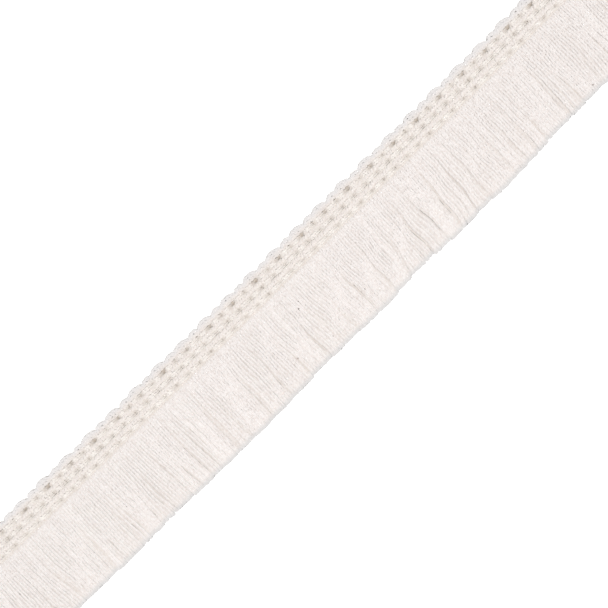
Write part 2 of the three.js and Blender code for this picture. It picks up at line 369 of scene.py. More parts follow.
# Where loose fibres stand out, in millimetres: the ranges of how far across they start, from the
# heading's lower edge or from the hem, and how high, and the way that they point, with its spread,
# in degrees. So many are at the picots and so many at the hem, and the rest on the skirt's face.
Zone = namedtuple("Zone", "across z heading")
PICOT_ZONE = Zone((7.6, 8.6), (0.8, 1.9), (90, 50))
HEM_ZONE = Zone((-0.1, 1.5), (0.6, 2.3), (-90, 30))
FACE_HEADING = (-90, 25)
PICOT_SHARE = 0.3
HEM_SHARE = 0.3
FACE_MARGIN = 0.5  # from the skirt's root and hem to the nearest on its face
FACE_SINK = 0.05  # how deep under the face they start

# Their length, the spread of their curl in degrees, how far they rise from the face or wave up and
# down elsewhere, and the lowest that they lie.
FIBRE_LENGTH = (0.7, 2.6)
FIBRE_CURL = 60
FACE_RISE = (0.05, 0.3)
EDGE_RISE = 0.3
FIBRE_LOWEST = 0.1
FIBRE_STEPS = 5
FIBRE_CLEAR = 1  # from a cut end of the trim to the nearest fibre

# The floor's half width, the softbox's width and place, and the height that the camera frames, in
# metres.
FLOOR_HALF = 3.0
SOFTBOX_WIDE = 0.4
SOFTBOX_PLACE = (0.0, -0.1, 1.0)
FRAMED_HEIGHT = 0.002


def linear(colour):
    """The linear RGB of an sRGB hex colour."""
    levels = [int(colour[i:i + 2], 16) / 255 for i in (0, 2, 4)]
    return tuple(c / 12.92 if c <= 0.04045 else ((c + 0.055) / 1.055) ** 2.4 for c in levels)


def length_property(name, description, default):
    """A size in metres."""
    return FloatProperty(
        name=name, description=description, default=default, unit="LENGTH", precision=5
    )


def colour_property(name, description, colour):
    """A colour from its sRGB hex value."""
    return FloatVectorProperty(
        name=name, description=description, default=linear(colour), subtype="COLOR", min=0, max=1
    )


class TrimSizes(bpy.types.PropertyGroup):
    """The whole trim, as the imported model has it."""

    length: length_property("Length", "Cut length of the trim", CAD_HIGH.x - CAD_LOW.x)
    ribs: IntProperty(name="Ribs", description="Weft ribs in that length", default=60, min=2)
    width: length_property("Width", "Crest of a large picot to the mean hem", 0.032)
    heading: length_property("Heading", "Crest of a large picot to the lower edge", 0.00905)
    bend_left: length_property("Bend left", "How far the -X end swings to the picot side", 0.0003)
    bend_right: length_property("Bend right", "How far the +X end swings to the picot side", 0.00095)
    middle: length_property("Middle", "Y of the middle of the width, halfway along", -0.00025)


class HeadingSizes(bpy.types.PropertyGroup):
    """Yarns of the woven heading."""

    yarn_wide: length_property("Yarn width", "Across both plies of a weft yarn", 0.00108)
    yarn_thick: length_property("Yarn thickness", "Across one ply of a weft yarn", 0.00090)
    warp_wide: length_property("Warp width", "Across both plies of a warp yarn", 0.00074)
    warp_thick: length_property("Warp thickness", "Across one ply of a warp yarn", 0.00064)
    warp_spread: length_property("Warp spread", "From a row's first warp yarn to its third", 0.00060)
    squeeze: FloatProperty(
        name="Squeeze", description="Share by which the warp draws the skirt's roots in", default=0.18
    )
    twist: length_property("Twist", "Length of one full turn of the plies", 0.0026)
    step: length_property("Step", "Spacing of the points along a front yarn", 0.0003)


class SkirtSizes(bpy.types.PropertyGroup):
    """Threads of the brush skirt."""

    threads: IntProperty(name="Threads", description="Threads in one layer", default=336, min=2)
    yarn_wide: length_property("Thread width", "Across both plies of a thread", 0.00084)
    yarn_thick: length_property("Thread thickness", "Across one ply of a thread", 0.00078)
    tuck: length_property("Tuck", "How far the threads run up under the lowest warp row", 0.0010)


class LooseFibres(bpy.types.PropertyGroup):
    """Fibres that stand out of the yarns."""

    count: IntProperty(name="Fibres", description="Loose fibres over the trim", default=1500, min=0)
    thick: length_property("Thickness", "Thickness of a loose fibre", 0.00003)
    seed: IntProperty(name="Seed", description="Seed of every random choice", default=7)


class CottonColours(bpy.types.PropertyGroup):
    """Natural, undyed cotton, with the painted shade and light of its hollows and edges."""

    heading: colour_property("Heading", "Weft of the heading", "eee9e5")
    warp: colour_property("Warp", "Warp of the heading", "f2eee9")
    skirt: colour_property("Skirt", "Cotton of the skirt", "f1edeb")
    shade: colour_property("Shade", "Its darker, warmer streaks", "e7dfdb")
    # Painted shade: cotton painted darker and warmer low between the yarns, by its depth.
    deep_shade: colour_property("Deep", "Cotton low between the yarns", "c0b4a6")
    # Painted shade: yarn painted darker and tan deep in the heading's hollows and holes.
    hollow_shade: colour_property("Hollow", "Yarn at the bottom of the holes in the heading", "a49480")
    # Painted light and shade: thin edges painted a cooler, darker grey, for the shade of their sides
    # and the lit floor's light in them.
    rim: colour_property("Rim", "Thin edges that the lit floor shines into", "e7e4e3")
    # Painted shade: the last of each skirt thread, at its cut end, is painted a darker grey.
    hem: colour_property("Hem", "Cut ends of the skirt threads", "dcdad9")
    husk: colour_property("Husk", "Specks of seed husk", "6b4a33")


class StudioSettings(bpy.types.PropertyGroup):
    """Floor, lights and camera."""

    floor: colour_property("Floor", "Pale floor", "f7f7f6")
    glow: FloatProperty(name="Glow", description="Light from below through the floor", default=0.35)
    sky: FloatProperty(name="Sky", description="Strength of the even light", default=0.2)
    lamp: FloatProperty(name="Lamp", description="Power of the overhead softbox, in watts", default=9.5)
    lens: FloatProperty(name="Lens", description="Focal length", default=100.0, unit="CAMERA")
    frame_width: length_property("Frame width", "Width of what the camera sees", 0.16213)
    turn: FloatProperty(
        name="Turn", description="Angle of the trim in the picture",
        default=math.radians(44.85), subtype="ANGLE", unit="ROTATION",
    )
    aim_along: length_property("Aim along", "X that the camera looks at", 0.0005)
    aim_across: length_property("Aim across", "Y that the camera looks at", -0.00078)


# ---- shared measures ----


def trim_measures():
    """Half the trim's length, a rib's pitch and the skirt's length to the mean hem, in millimetres."""
    sizes = bpy.context.scene.trim_sizes
    return (sizes.length / 2 / MM, sizes.length / sizes.ribs / MM, (sizes.width - sizes.heading) / MM)


def lower_edge():
    """Y in metres of the heading's lower edge, halfway along."""
    sizes = bpy.context.scene.trim_sizes
    return sizes.middle + sizes.width / 2 - sizes.heading


def trim_points(along, across, height):
    """Points in metres from millimetres along the trim, across from its lower edge, and up."""
    sizes = bpy.context.scene.trim_sizes
    along = np.asarray(along, float)
    share = along * MM / (sizes.length / 2)
    bend = np.where(share < 0, sizes.bend_left, sizes.bend_right) * share**2
    return np.stack([along * MM, lower_edge() + bend + np.asarray(across) * MM,
                     np.asarray(height) * MM + 0 * along], axis=1)


def ramp(value, start, full):
    """0 up to start, 1 from full on, and a straight line between."""
    return np.clip((value - start) / (full - start), 0, 1)


def skirt_height(up):
    """Height in millimetres of the skirt's upper side at a share of its length above the hem."""
    return np.interp(up, *np.array(SKIRT_ROWS).T)


def face_height(places):
    """Height in millimetres of the trim's upper side over places, an array of points in metres."""
    sizes = bpy.context.scene.trim_sizes
    straight = trim_points(places[:, 0] / MM, 0.0, 0.0)
    up = 1 + (places[:, 1] - straight[:, 1]) / (sizes.width - sizes.heading)
    *lower, root = SKIRT_ROWS
    root = root._replace(height=root.height + ROOT_RISE)
    return np.interp(up, *np.array([*lower, root, (HEADING_START, HEADING_TOP)]).T)


def mark_depth(mesh):
    """Gives a mesh the attribute depth: how far below the trim's upper side it lies, in millimetres.

    It is 0 where the mesh faces down, towards the lit floor. The painted shade of deep cotton grows
    with it.
    """
    places, normals = (np.empty(3 * len(mesh.vertices), np.float32) for _ in range(2))
    mesh.vertices.foreach_get("co", places)
    mesh.vertices.foreach_get("normal", normals)
    places = places.reshape(-1, 3).astype(float)
    below = face_height(places) - places[:, 2] / MM
    depth = mesh.attributes.new("depth", "FLOAT", "POINT")
    depth.data.foreach_set("value", below * ramp(normals[2::3], FACING_DOWN, FACING_UP))


def smooth_line(corners, step):
    """Points every step along a smooth line through corners, with any further columns carried along."""
    corners = np.asarray(corners, float)
    before = 2 * corners[0] - corners[1]
    after = 2 * corners[-1] - corners[-2]
    ring = np.vstack([before, corners, after])
    shares = np.arange(STRETCH_POINTS)[:, None] / STRETCH_POINTS
    stretches = []
    for a, b, c, d in zip(ring, ring[1:], ring[2:], ring[3:]):
        stretches.append(0.5 * (2 * b + (c - a) * shares + (2 * a - 5 * b + 4 * c - d) * shares**2
                                + (3 * b - a - 3 * c + d) * shares**3))
    dense = np.vstack([*stretches, corners[-1:]])
    gone = distance_gone(dense[:, :3])
    count = max(3, int(round(gone[-1] / step)) + 1)
    wanted = np.linspace(0, gone[-1], count)
    return np.stack([np.interp(wanted, gone, column) for column in dense.T], axis=1)


def distance_gone(line):
    """How far along a line of points each of them lies."""
    return np.concatenate([[0], np.cumsum(np.linalg.norm(np.diff(line, axis=0), axis=1))])


def rippled(rng, down, ripple):
    """A smooth random wave along a yarn, the sum of two waves of a Ripple."""
    wave = np.zeros(len(down))
    for _ in range(2):
        phase = rng.uniform(0, 2 * math.pi)
        length = rng.uniform(ripple.shortest, ripple.longest)
        wave += ripple.size * np.sin(2 * math.pi * down / length + phase)
    return wave


def new_object(name, data):
    """An object in the scene for a mesh, a curve, a light or a camera."""
    made = bpy.data.objects.new(name, data)
    bpy.context.scene.collection.objects.link(made)
    return made


# ---- yarns ----


def section_curve(name, wide, thick, section):
    """A flat closed curve: the section of a two-ply yarn, which its twist turns along the yarn."""
    data = bpy.data.curves.new(name, "CURVE")
    data.dimensions = "2D"
    spline = data.splines.new("POLY")
    spline.points.add(section.sides - 1)
    for i, point in enumerate(spline.points):
        turn = 2 * math.pi * i / section.sides
        waist = 1 - section.groove * math.sin(turn) ** 6
        point.co = (wide / 2 * math.cos(turn), waist * thick / 2 * math.sin(turn), 0, 1)
    spline.use_cyclic_u = True
    return new_object(name, data)


def new_yarns(name, wide, thick, section, *materials):
    """An empty curve whose splines become yarns of one section.

    A yarn laid with finish 0 has the first material, and so on.
    """
    data = bpy.data.curves.new(name, "CURVE")
    for material in materials:
        data.materials.append(material)
    data.dimensions = "3D"
    data.twist_mode = "Z_UP"
    data.bevel_mode = "OBJECT"
    data.bevel_object = section_curve(name + "_section", wide, thick, section)
    data.use_fill_caps = True
    return data


def lay_yarn(yarns, line, girth=1.0, twist=UNTWISTED, start_turn=0.0, finish=0):
    """Adds one yarn along a line of points, turning once every twist metres."""
    spline = yarns.splines.new("POLY")
    spline.points.add(len(line) - 1)
    spline.points.foreach_set("co", np.column_stack([line, np.ones(len(line))]).ravel())
    spline.points.foreach_set("tilt", start_turn + 2 * math.pi * distance_gone(line) / twist)
    spline.points.foreach_set("radius", np.broadcast_to(girth, len(line)).astype(float))
    spline.material_index = finish


def yarn_piece(yarns):
    """Makes the laid yarns one closed mesh that rides with the trim."""
    name = yarns.name
    laid = new_object(name + "_laid", yarns)
    graph = bpy.context.evaluated_depsgraph_get()
    mesh = bpy.data.meshes.new_from_object(laid.evaluated_get(graph))
    bpy.data.objects.remove(laid)
    bpy.data.objects.remove(yarns.bevel_object)
    bpy.data.curves.remove(yarns)
    solid = bmesh.new()
    solid.from_mesh(mesh)
    bmesh.ops.remove_doubles(solid, verts=solid.verts, dist=SAME_PLACE)
    bmesh.ops.recalc_face_normals(solid, faces=solid.faces)
    solid.to_mesh(mesh)
    solid.free()
    mesh.shade_smooth()
    mark_depth(mesh)
    return finished_piece(name, mesh)


def finished_piece(name, mesh):
    """An object for a mesh in place, with its body."""
    mesh.name = name
    piece = new_object(name, mesh)
    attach(piece, "root")
    return piece


# ---- materials ----


def add_node(tree, kind, inputs, **settings):
    """Adds a node with its settings, and returns its outputs.

    kind leaves out ShaderNode, and inputs gives, by name or place, a socket or a value for an input.
    """
    node = tree.nodes.new("ShaderNode" + kind)
    for name, value in settings.items():
        setattr(node, name, value)
    for key, value in inputs.items():
        if isinstance(value, bpy.types.NodeSocket):
            tree.links.new(value, node.inputs[key])
        else:
            node.inputs[key].default_value = value
    return node.outputs


def new_material(name):
    """A material and its node tree, empty."""
    material = bpy.data.materials.new(name)
    material.use_nodes = True
    material.node_tree.nodes.clear()
    return material, material.node_tree


def cotton_yarn(name, tone, spin, deep_shade=None, rim=None):
    """Soft two-ply cotton yarn, undyed: matt, with a faint bloom of loose fibre.

    Its two plies meet in a groove that winds along the yarn with its twist, and fibres wrap round
    them. The tone drifts in streaks and tufts. Single fibres are too fine to show, so what wraps the
    plies and what fuzz stands up are drawn as coarse as tufts of them.
    A Deep is painted shade: the darker, warmer colour that the yarn takes low between its neighbours,
    by its depth, where shade falls there.
    rim is a colour with the axis, start and end of its ramp: painted light and shade at thin edges,
    which turn a cooler, darker grey, for the shade of their sides and the lit floor's light in them.
    """
    shade = bpy.context.scene.cotton_colours.shade
    material, tree = new_material(name)
    places = add_node(tree, "TexCoord", {})["Object"]
    stretched = add_node(tree, "Mapping", {
        "Vector": places,
        "Scale": (1 / (spin.streak_x * MM), 1 / (spin.streak_y * MM), 1 / (spin.streak_x * MM)),
    })["Vector"]
    tones = add_node(tree, "TexNoise",
                     {"Vector": stretched, "Scale": 1.0, "Detail": 2.0, "Roughness": 0.6})["Fac"]
    tufts = add_node(tree, "TexNoise",
                     {"Vector": places, "Scale": 1 / (TUFT * MM), "Detail": 2.0})["Fac"]
    both = add_node(tree, "Math", {0: tones, 1: STREAK_WEIGHT, 2: tufts},
                    operation="MULTIPLY_ADD")["Value"]
    on_yarn = add_node(tree, "UVMap", {}, uv_map="UVMap")["UV"]
    parts = add_node(tree, "SeparateXYZ", {"Vector": on_yarn})
    ramps = [(both, SHADE_START, SHADE_FULL, shade, "LINEAR")]
    if deep_shade:
        depth = add_node(tree, "Attribute", {}, attribute_name="depth")["Fac"]
        ramps.append((depth, deep_shade.start, deep_shade.full, deep_shade.colour, "LINEAR"))
    if rim:
        place = parts["X"]
        if rim.axis == "y":
            place = add_node(tree, "SeparateXYZ", {"Vector": places})["Y"]
        ramps.append((place, rim.start, rim.end, rim.colour, "SMOOTHSTEP"))
    colour = (*tone, 1)
    for value, start, full, over, easing in ramps:
        factor = add_node(tree, "MapRange", {"Value": value, "From Min": start, "From Max": full},
                          interpolation_type=easing)["Result"]
        colour = add_node(tree, "Mix", {"Factor": factor, "A": colour, "B": (*over, 1)},
                          data_type="RGBA")["Result"]
    around = add_node(tree, "Math", {0: parts["Y"], 1: 2 * math.pi}, operation="MULTIPLY")["Value"]
    wound = add_node(tree, "Math", {0: parts["X"], 1: 2 * math.pi * spin.wraps},
                     operation="MULTIPLY")["Value"]
    wraps = add_node(tree, "Math", {0: around, 1: FIBRE_BANDS, 2: wound},
                     operation="MULTIPLY_ADD")["Value"]
    wraps = add_node(tree, "Math", {0: wraps}, operation="SINE")["Value"]
    plies = add_node(tree, "Math", {0: around}, operation="COSINE")["Value"]
    plies = add_node(tree, "Math", {0: plies}, operation="ABSOLUTE")["Value"]
    fuzz = add_node(tree, "TexNoise",
                    {"Vector": places, "Scale": 1 / (FUZZ * MM), "Detail": 3.0})["Fac"]
    height = 0.0
    for part, size in ((plies, PLY_RELIEF), (wraps, WRAP_RELIEF), (fuzz, FUZZ_RELIEF)):
        height = add_node(tree, "Math", {0: part, 1: size, 2: height},
                          operation="MULTIPLY_ADD")["Value"]
    relief = add_node(tree, "Bump", {"Height": height, "Strength": 1.0, "Distance": MM})
    surface = add_node(tree, "BsdfPrincipled", {
        "Base Color": colour, "Normal": relief["Normal"], "Roughness": 0.9, "IOR": 1.5,
        "Diffuse Roughness": 1.0, "Specular IOR Level": 0.2, "Sheen Weight": 0.3,
        "Sheen Roughness": 0.6,
    })
    add_node(tree, "OutputMaterial", {"Surface": surface["BSDF"]})
    return material


def heading_yarn(name, tone, spin, rim=None):
    """Cotton yarn of the heading, painted darker and tan as shade at the bottom of its holes."""
    hollow_shade = Deep(bpy.context.scene.cotton_colours.hollow_shade, HOLLOW_START, HOLLOW_FULL)
    return cotton_yarn(name, tone, spin, hollow_shade, rim)


# ---- the heading ----


def strand_line(strand, lean, rib):
    """Corners of one weft strand, from the gap at x = 0: up a rib, over as a picot, and down.

    Each corner is x, across, height and girth.
    """
    climb = []
    for row in LEG_ROWS:
        off = (rib - strand.half) * (1 - row.squeeze)
        climb.append((rib - off, row.across, row.z - row.drop * (off / rib) ** 2, row.girth))
    for row in FOOT_ROWS:
        off = row.spread * strand.foot + (1 - row.spread) * strand.half
        climb.append((off, row.across, FOOT_HEIGHT, FOOT_GIRTH))
    for degrees in (0, 30, 60, 90):
        turn = math.radians(degrees)
        height = strand.side_z + (strand.crest_z - strand.side_z) * math.sin(turn) ** 2
        across = strand.side + (strand.crest - strand.side) * math.sin(turn)
        climb.append((strand.bulge * math.cos(turn), across, height, strand.girth))
    corners = np.array([(-x, *rest) for x, *rest in climb] + climb[-2::-1])
    sags = np.array([row.sag for row in LEG_ROWS] + [FOOT_SAG for row in FOOT_ROWS])
    corners[:len(sags), 2] -= sags * ramp(corners[:len(sags), 0], NO_SAG, FULL_SAG)
    corners[:, 0] -= lean.foot * ramp(corners[:, 1], LEAN_START, LEAN_FULL)
    corners[:, 0] -= lean.slant * np.maximum(0.0, corners[:, 1] - SLANT_START)
    return corners


class FRINGE_OT_weave_weft(bpy.types.Operator):
    """Weaves the ribs of the heading, each strand turning back over a gap as a picot"""

    bl_idname = "fringe.weave_weft"
    bl_label = "Weave ribs and picots"

    def execute(self, context):
        sizes = context.scene.trim_sizes
        yarn = context.scene.heading_sizes
        rng = np.random.default_rng(context.scene.loose_fibres.seed)
        colours = context.scene.cotton_colours
        half_length, pitch, _ = trim_measures()
        # Painted light and shade on the picots: their crowns and outermost strands turn a cooler,
        # darker grey.
        rims = []
        for start, end in ((CROWN_START, CROWN_END), (RIM_START, RIM_END)):
            rims.append(Rim(colours.rim, "y", lower_edge() + start * MM, lower_edge() + end * MM))
        weft = heading_yarn("carded_cotton_weft", colours.heading, WEFT_SPIN, rims[0])
        outermost = heading_yarn("carded_cotton_picot_rim", colours.heading, WEFT_SPIN, rims[1])
        back = heading_yarn("carded_cotton_back", colours.heading, WEFT_SPIN)
        step = yarn.step / MM
        uneven = PICOTS_UNEVEN
        for name, first, strands, lean in PICOTS:
            facing = new_yarns(name, yarn.yarn_wide, yarn.yarn_thick, FRONT_YARN, weft, outermost)
            behind = new_yarns(name + "_back", yarn.yarn_wide, yarn.yarn_thick, BACK_YARN, back)
            half_ribs = sizes.ribs // 2
            for gap in range(-half_ribs + (half_ribs + first) % 2, half_ribs + 1, 2):
                swell = rng.normal(0, uneven.swell)
                leaning = lean._replace(foot=lean.foot + rng.normal(0, uneven.foot))
                for strand in strands:
                    grown = strand._replace(
                        bulge=strand.bulge * rng.normal(1, uneven.bulge),
                        crest=strand.crest + swell + rng.normal(0, uneven.crest),
                        crest_z=strand.crest_z + rng.normal(0, uneven.crest_z),
                    )
                    corners = strand_line(grown, leaning, pitch / 2)
                    corners[:, 0] += gap * pitch
                    corners[3:-3, :3] += rng.normal(0, uneven.corner, (len(corners) - 6, 3))
                    corners = corners[np.abs(corners[:, 0]) <= half_length]
                    line = smooth_line(corners, step)
                    girth = line[:, 3] * (1 + rippled(rng, np.arange(len(line)) * step, WEFT_GIRTH))
                    twist = yarn.twist * rng.uniform(1 - TWIST_UNEVEN, 1 + TWIST_UNEVEN)
                    lay_yarn(facing, trim_points(*line[:, :3].T), girth, twist, rng.uniform(0, TURN),
                             finish=int(strand == strands[-1]))
                    line = smooth_line(corners, BACK_COARSER * step)
                    line[:, 2] = np.minimum(FOLD_HEIGHT - line[:, 2], BACK_HIGHEST)
                    girth = np.minimum(line[:, 3], 1.0)
                    lay_yarn(behind, trim_points(*line[:, :3].T), girth)
            shown = yarn_piece(facing)
            if name == "picots_large":
                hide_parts("heading")
            yarn_piece(behind)
        return {"FINISHED"}


class FRINGE_OT_lay_warp(bpy.types.Operator):
    """Lays the warp cords that bind the ribs, over each rib and down into each gap"""

    bl_idname = "fringe.lay_warp"
    bl_label = "Lay warp cords"

    def execute(self, context):
        sizes = context.scene.trim_sizes
        yarn = context.scene.heading_sizes
        rng = np.random.default_rng(context.scene.loose_fibres.seed + 1)
        tone = context.scene.cotton_colours.warp
        front = heading_yarn("spun_cotton_warp", tone, WARP_SPIN)
        back = heading_yarn("spun_cotton_back", tone, WARP_SPIN)
        warp = new_yarns("warp_cords", yarn.warp_wide, yarn.warp_thick, FRONT_YARN, front)
        behind = new_yarns("warp_cords_back", yarn.warp_wide, yarn.warp_thick, BACK_YARN, back)
        half_length, pitch, _ = trim_measures()
        along = np.arange(-half_length, half_length + WARP_PAST_END, yarn.step / MM)
        gap = np.round(along / pitch)
        off = along - pitch * gap
        offs, large, small = np.array(DIP_ROWS).T
        for row in WARP_ROWS:
            # One for each gap, with those left of the middle at the end.
            tight = rng.normal(1, TIGHT_SPREAD, sizes.ribs + 3)
            tight = np.clip(tight, TIGHT_LEAST, TIGHT_MOST)[gap.astype(int)]
            for side in WARP_SIDES:
                z = np.where(gap % 2 == 1, np.interp(off, offs, large), np.interp(off, offs, small))
                high = ramp(z, min(large), max(large))
                z = z - row.sink * (gap % 2) * (1 - high)
                z = max(small) - (max(small) - z) * tight
                if side == 0:
                    z = z - MIDDLE_SINK + MIDDLE_LIFT * high
                z = np.maximum(z, WARP_LOWEST)
                across = row.across + side * yarn.warp_spread / MM + rippled(rng, along, WARP_ASIDE)
                line = trim_points(along, across, z + rippled(rng, along, WARP_RISE))
                lay_yarn(warp, line, WARP_GIRTH + WARP_SWELL * high, WARP_TWIST * yarn.twist,
                         rng.uniform(0, TURN))
                highest = np.clip(z - BACK_CLEAR, BACK_LOWEST, BACK_HIGHEST)
                line = trim_points(along, across, np.clip(FOLD_HEIGHT - z, BACK_LOWEST, highest))
                lay_yarn(behind, line[::BACK_COARSER])
        end = half_length - FILLING_SHORTER
        along = np.linspace(-end, end, FILLING_POINTS)
        for cord in FILLING_CORDS:
            line = trim_points(along, 0 * along + cord.across, cord.z)
            lay_yarn(warp, line, cord.girth)
        yarn_piece(warp)
        yarn_piece(behind)
        return {"FINISHED"}


# ---- the skirt ----


def lock_edges(half_length):
    """The partings between the two cut ends of the trim, as one Parting of arrays."""
    start, end = (Parting(at, 0.0, 1, 0.0, 0.0) for at in (-half_length, half_length))
    return Parting(*np.array([start, *PARTINGS, end]).T)


def combed(along, down, waves):
    """How far groups of threads wave sideways together, in millimetres."""
    return sum(size * np.sin(per_along * along + per_down * down + phase)
               for size, per_along, per_down, phase in waves)


def thread_path(rng, along, layer, edges, waves):
    """The path of one thread that grows at along: x, y, height and girth of its points."""
    skirt = bpy.context.scene.skirt_sizes
    half_length, rib, reach = trim_measures()
    top = layer == LAYERS[-1]
    roots = edges.at + edges.lean
    lock = int(np.clip(np.searchsorted(roots, along) - 1, 0, len(roots) - 2))
    within = (along - roots[lock]) / (roots[lock + 1] - roots[lock])
    aside = abs(2 * within - 1)
    length = reach + edges.hem[lock] + LOCK_CROWN * (1 - aside**4) + rng.normal(0, LENGTH_SPREAD)
    if not top:
        length -= SHORTER_BELOW
    tuck = skirt.tuck / MM
    down = np.linspace(-tuck, length, int(round((length + tuck) / layer.step)) + 1)
    share = np.clip(down / reach, 0, 1)
    sides = []
    for k, sign in ((lock, 1), (lock + 1, -1)):
        slit_top = SKIRT_ROWS[int(edges.rows[k])].up
        opening = np.sin(math.pi * np.clip((1 - share) / slit_top, 0, 1)) ** 1.5 * layer.opening
        lean = edges.lean[k] * (1 - share**1.6)
        sides.append(edges.at[k] + lean + sign * edges.open[k] * PARTING_SIDE * opening)
    x = sides[0] + within * (sides[1] - sides[0])
    inside = 1 - ramp(abs(along), half_length - STILL_END, half_length)
    x += inside * np.sin(math.pi * share) * combed(along, down, waves)
    stray = STRAY * (rng.random() < STRAY_SHARE) * top
    x += share**1.5 * rng.normal(0, WANDER_SPREAD) * (1 + stray)
    x += share * rippled(rng, down, THREAD_SWAY)
    x += share**0.4 * rippled(rng, down, THREAD_KINK)
    squeeze = bpy.context.scene.heading_sizes.squeeze * (1 - ramp(np.abs(down - ROW_DOWN), 0, ROW_DRAW))
    x += squeeze * (rib * (math.floor(along / rib) + 0.5) - along)
    height = skirt_height(1 - share) * (1 - LOCK_ROUND * share * aside**6)
    height -= TIP_DROP * ramp(down, length - TIP, length) ** 2
    half_thread = skirt.yarn_thick / 2 / MM
    z = half_thread + BED + (height - 2 * half_thread - BED) * layer.level + STRAY_LIFT * stray
    z += share**0.3 * rippled(rng, down, THREAD_RISE)
    z -= TUCK_DROP * layer.level * np.maximum(TUCK_START - down, 0)
    girth = 1 + rippled(rng, down, THREAD_GIRTH)
    girth *= 1 + SPLAY_GIRTH * ramp(down, length - SPLAY, length) ** 2
    return x, -down, np.maximum(z, skirt.yarn_wide / 2 / MM * girth + GROUND_CLEAR), girth


class FRINGE_OT_lay_skirt(bpy.types.Operator):
    """Lays the cut threads of the skirt in layers, gathered into locks"""

    bl_idname = "fringe.lay_skirt"
    bl_label = "Lay the skirt"

    def execute(self, context):
        skirt = context.scene.skirt_sizes
        rng = np.random.default_rng(context.scene.loose_fibres.seed + 2)
        colours = context.scene.cotton_colours
        # The brush has painted shade: darker and warmer low between its threads, and a darker grey at
        # the hem.
        material = cotton_yarn("carded_cotton_brush", colours.skirt, BRUSH_SPIN,
                               Deep(colours.deep_shade, DEEP_START, DEEP_FULL),
                               Rim(colours.hem, "along", HEM_START, HEM_END))
        half_length = trim_measures()[0]
        furthest = half_length - END_CLEAR
        edges = lock_edges(half_length)
        waves = [[rng.uniform(*span) for span in (WAVE_SIZE, WAVE_ALONG, WAVE_DOWN, (0, TURN))]
                 for _ in range(WAVES)]
        pitch = 2 * half_length / skirt.threads
        least, most = 1 - BRUSH_TWIST_UNEVEN, 1 + BRUSH_TWIST_UNEVEN
        pieces = {}
        for number, layer in enumerate(LAYERS):
            name = "skirt_front" if layer == LAYERS[-1] else f"skirt_layer_{number + 1}"
            section = Section(layer.sides, BRUSH_GROOVE)
            stagger = 0.5 + 0.5 * (number % 2)
            for i in range(skirt.threads):
                along = (i + stagger) * pitch - half_length + rng.normal(0, PLACE_SPREAD)
                along = min(max(along, -furthest), furthest)
                key = f"{name}_{'left' if along < 0 else 'right'}" if layer.halved else name
                if key not in pieces:
                    pieces[key] = new_yarns(key, skirt.yarn_wide, skirt.yarn_thick, section, material)
                *path, girth = thread_path(rng, along, layer, edges, waves)
                twist = layer.twist * rng.uniform(least, most)
                lay_yarn(pieces[key], trim_points(*path), girth, twist, rng.uniform(0, TURN))
        for key, yarns in pieces.items():
            made = yarn_piece(yarns)
            if key == "skirt_front_left":
                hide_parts("fringe_skirt")
        return {"FINISHED"}


# ---- ground, fibres and flecks ----


def plain_weave(name, tone):
    """Plain-woven cotton: fine warp and weft cross over and under, so it shows a small even grid."""
    # As heading yarn it takes the painted shade of the hollows, so where it shows at the bottom of the
    # holes it is painted dark tan.
    material = heading_yarn(name, tone, FINE_SPIN)
    tree = material.node_tree
    places = add_node(tree, "TexCoord", {})["Object"]
    waves = {}
    for number, direction in enumerate(("X", "Y")):
        waves[number] = add_node(tree, "TexWave", {
            "Vector": places, "Scale": TEXTURE_WAVE / (WEAVE_SPACING * MM), "Distortion": 0.4,
            "Detail": 1.0,
        }, bands_direction=direction)["Fac"]
    over = add_node(tree, "Math", waves, operation="MAXIMUM")["Value"]
    relief = add_node(tree, "Bump", {"Height": over, "Strength": 0.6, "Distance": 0.1 * MM})
    surface = next(node for node in tree.nodes if node.type == "BSDF_PRINCIPLED")
    tree.links.new(relief["Normal"], surface.inputs["Normal"])
    return material


class FRINGE_OT_lay_ground(bpy.types.Operator):
    """Lays the close inner weave that the ribs and warp rows are bound to"""

    bl_idname = "fringe.lay_ground"
    bl_label = "Lay the inner weave"

    def execute(self, context):
        sizes = context.scene.trim_sizes
        pitch = trim_measures()[1]
        mesh = bpy.data.meshes.new("heading_ground")
        cloth = bmesh.new()
        bmesh.ops.create_grid(cloth, x_segments=sizes.ribs * GROUND_ALONG,
                              y_segments=GROUND_ACROSS, size=0.5)
        for vertex in cloth.verts:
            along = vertex.co.x * sizes.length / MM
            across = GROUND_LOW + (vertex.co.y + 0.5) * (GROUND_HIGH - GROUND_LOW)
            height = GROUND_HEIGHT - GROUND_RIB * math.cos(2 * math.pi * along / pitch)
            vertex.co = trim_points([along], [across], [height])[0]
        bmesh.ops.solidify(cloth, geom=cloth.faces[:], thickness=-GROUND_THICK * MM)
        bmesh.ops.recalc_face_normals(cloth, faces=cloth.faces)
        cloth.to_mesh(mesh)
        cloth.free()
        mesh.shade_smooth()
        # The sheet reaches under the holes up to the picots, and its painted shade makes it dark tan
        # there.
        mesh.materials.append(plain_weave("plain_woven_cotton", context.scene.cotton_colours.heading))
        mark_depth(mesh)
        ground = finished_piece("heading_ground", mesh)
        # A flat width has to be 10 mm or more, so the real area is given beside it.
        return {"FINISHED"}


def husk(name, tone):
    """Dry seed husk, pressed flat: brown, mottled with darker spots, and duller than wood."""
    material, tree = new_material(name)
    places = add_node(tree, "TexCoord", {})["Object"]
    mottle = add_node(tree, "TexNoise", {"Vector": places, "Scale": 1 / (HUSK_MOTTLE * MM)})["Fac"]
    spots = (*(HUSK_SPOT * level for level in tone), 1)
    colour = add_node(tree, "Mix", {"Factor": mottle, "A": (*tone, 1), "B": spots},
                      data_type="RGBA")["Result"]
    surface = add_node(tree, "BsdfPrincipled", {"Base Color": colour, "Roughness": 0.6, "IOR": 1.5})
    add_node(tree, "OutputMaterial", {"Surface": surface["BSDF"]})
    return material


